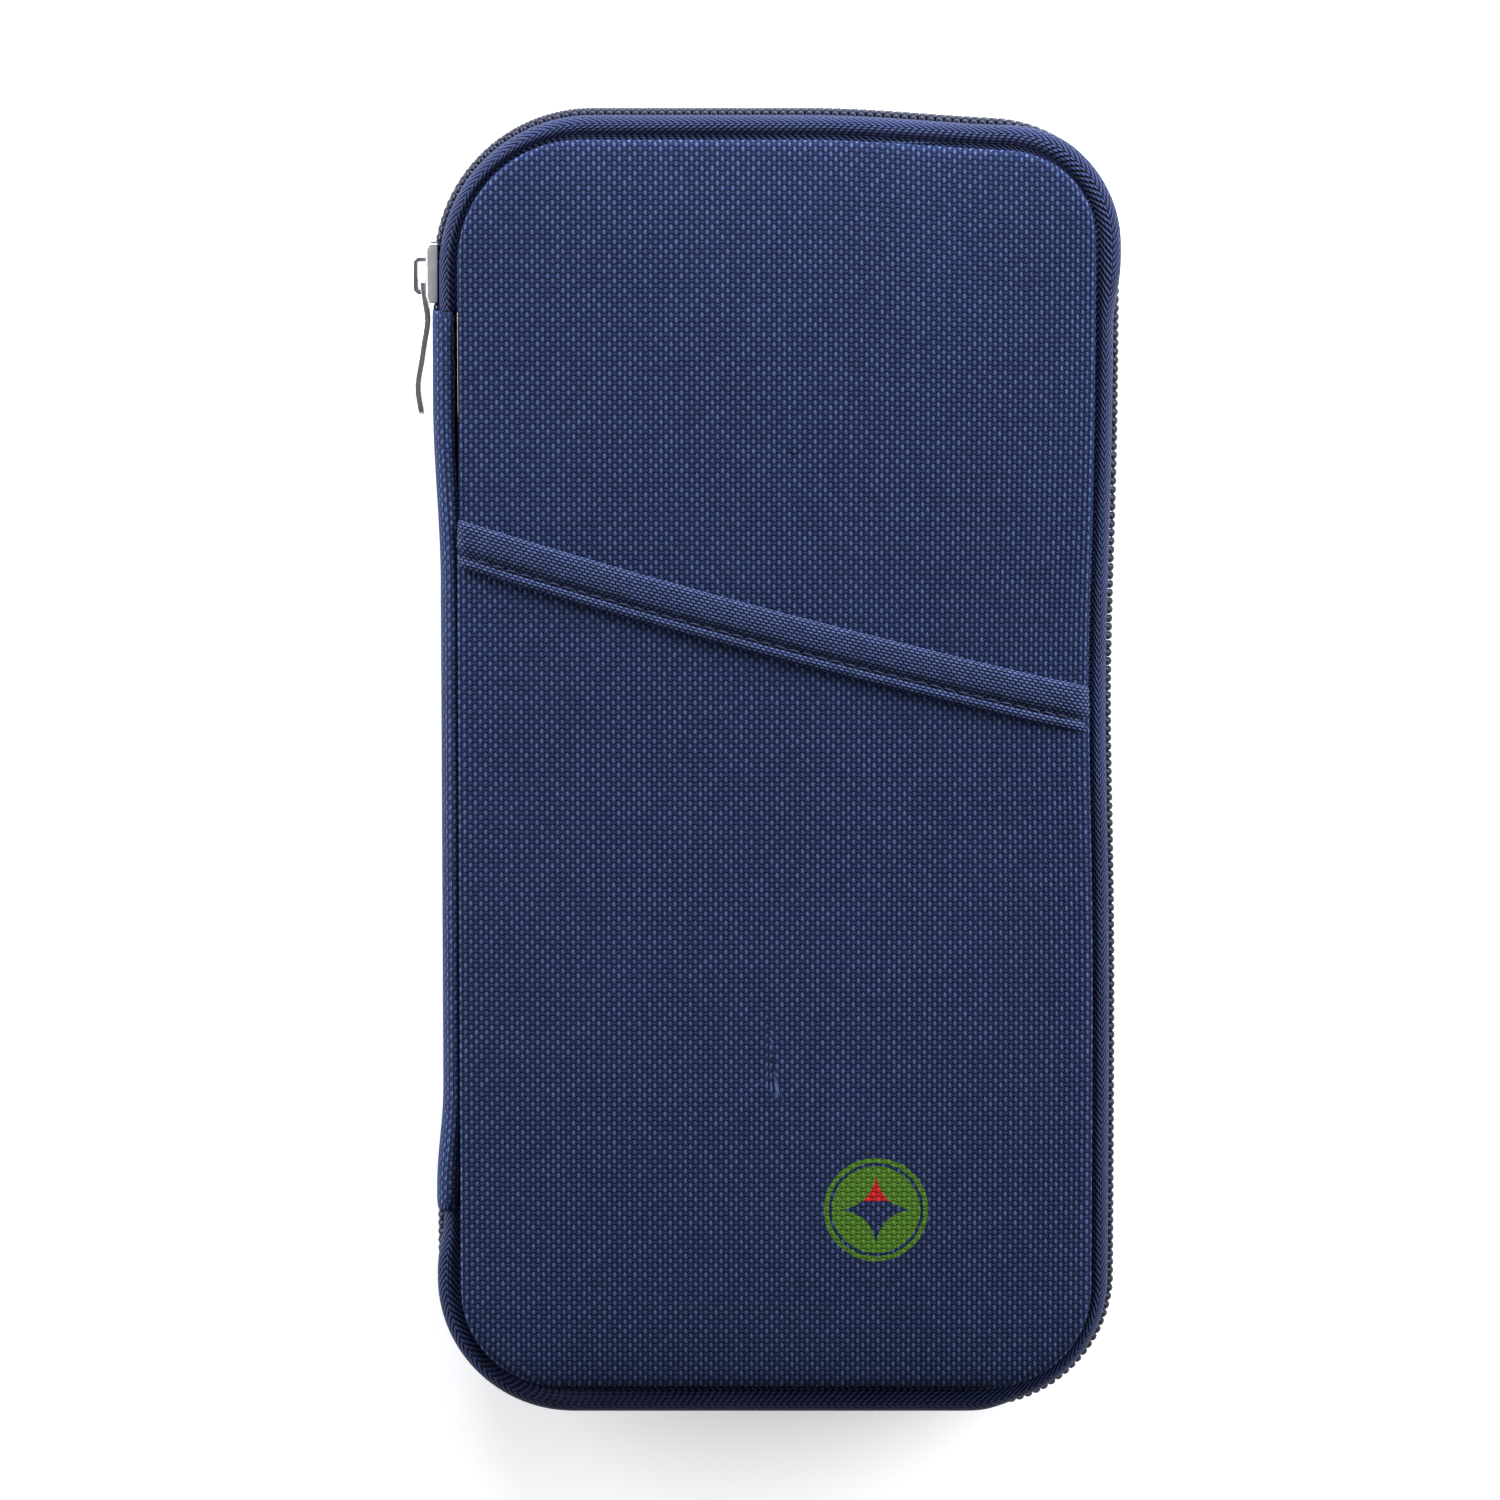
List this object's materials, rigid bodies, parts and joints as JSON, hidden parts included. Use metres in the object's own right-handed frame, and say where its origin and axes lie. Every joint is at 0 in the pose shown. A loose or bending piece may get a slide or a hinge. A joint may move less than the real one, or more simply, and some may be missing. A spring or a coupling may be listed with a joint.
{
  "type": "passport holder",
  "caption": "Flat zip-around travel document organiser with two padded fabric covers, a fabric spine, a slanted front pocket and flat pockets, card slots and a coin pocket inside.",
  "frame": {"origin": "centre of the back cover's outer face, which the part lies on", "axes": "+Y along the long side towards the head end, +X from the spine to the opening side, +Z out of the front cover"},
  "size_m": [0.1287, 0.24, 0.025],
  "materials": {
    "oxford_fabric": "plain-weave Oxford with a slight sheen",
    "woven_binding": "fine woven tape",
    "lining_fabric": "matt smooth weave",
    "foam_padding": "matt foam",
    "stiffener_sheet": "matt",
    "zip_tape": "satin twill",
    "nylon_coil": "semi gloss",
    "zip_metal": "polished",
    "clear_film": "clear gloss",
    "black_elastic": "ribbed elastic"
  },
  "bodies": {
    "back_cover": {"back_cover_fabric": "oxford_fabric", "back_foam_pad": "foam_padding", "back_stiffener_board": "stiffener_sheet", "back_lining": "lining_fabric", "back_zip_tape": "zip_tape", "back_zip_coil": "nylon_coil", "back_inner_binding": "woven_binding", "ticket_pocket_panel": "lining_fabric", "ticket_pocket_binding": "woven_binding", "passport_pocket_panel": "lining_fabric", "passport_pocket_binding": "woven_binding", "pocket_side_binding_left": "woven_binding", "pocket_side_binding_right": "woven_binding", "coin_pocket_panel": "lining_fabric", "coin_tape_upper": "zip_tape", "coin_tape_lower": "zip_tape", "coin_coil_upper": "nylon_coil", "coin_coil_lower": "nylon_coil", "coin_stop_left": "zip_metal", "coin_stop_right": "zip_metal"},
    "spine": {"spine_fabric": "oxford_fabric", "spine_stiffener": "stiffener_sheet", "spine_lining": "lining_fabric", "pen_loop": "black_elastic"},
    "front_cover": {"front_cover_fabric": "oxford_fabric", "front_foam_pad": "foam_padding", "front_stiffener_board": "stiffener_sheet", "front_lining": "lining_fabric", "front_pocket_panel": "oxford_fabric", "front_pocket_binding": "woven_binding", "front_zip_tape": "zip_tape", "front_zip_coil": "nylon_coil", "front_inner_binding": "woven_binding", "card_tier_1": "lining_fabric", "card_tier_2": "lining_fabric", "card_tier_3": "lining_fabric", "card_tier_4": "lining_fabric", "card_side_binding_left": "woven_binding", "card_side_binding_right": "woven_binding", "id_window_film": "clear_film", "id_window_frame": "lining_fabric"},
    "zip_slider": {"slider_body": "zip_metal", "slider_crown": "zip_metal"},
    "zip_pull": {"pull_tab": "zip_metal"},
    "coin_slider": {"coin_slider_body": "zip_metal", "coin_slider_crown": "zip_metal"},
    "coin_pull": {"coin_pull_tab": "zip_metal"}
  },
  "joints": [
    {"name": "back_fold", "type": "hinge", "parent": "back_cover", "child": "spine", "pos_m": [-0.0582, 0, 0.003], "axis": [0, -1, 0], "range_deg": [0, 90]},
    {"name": "front_fold", "type": "hinge", "parent": "spine", "child": "front_cover", "pos_m": [-0.0582, 0, 0.022], "axis": [0, -1, 0], "range_deg": [0, 90]},
    {"name": "zip_travel", "type": "hinge", "parent": "spine", "child": "zip_slider", "pos_m": [-0.0335, 0.091, 0.0125], "axis": [0, 0, -1], "range_deg": [0, 90]},
    {"name": "zip_pull_swing", "type": "hinge", "parent": "zip_slider", "child": "zip_pull", "pos_m": [-0.06445, 0.0884, 0.0125], "axis": [0, 0, -1], "range_deg": [0, 130]},
    {"name": "coin_zip_travel", "type": "slide", "parent": "back_cover", "child": "coin_slider", "axis": [1, 0, 0], "range_m": [0, 0.065]},
    {"name": "coin_pull_swing", "type": "hinge", "parent": "coin_slider", "child": "coin_pull", "pos_m": [-0.0305, 0.086, 0.01081], "axis": [0, -1, 0], "range_deg": [0, 20]}
  ]
}
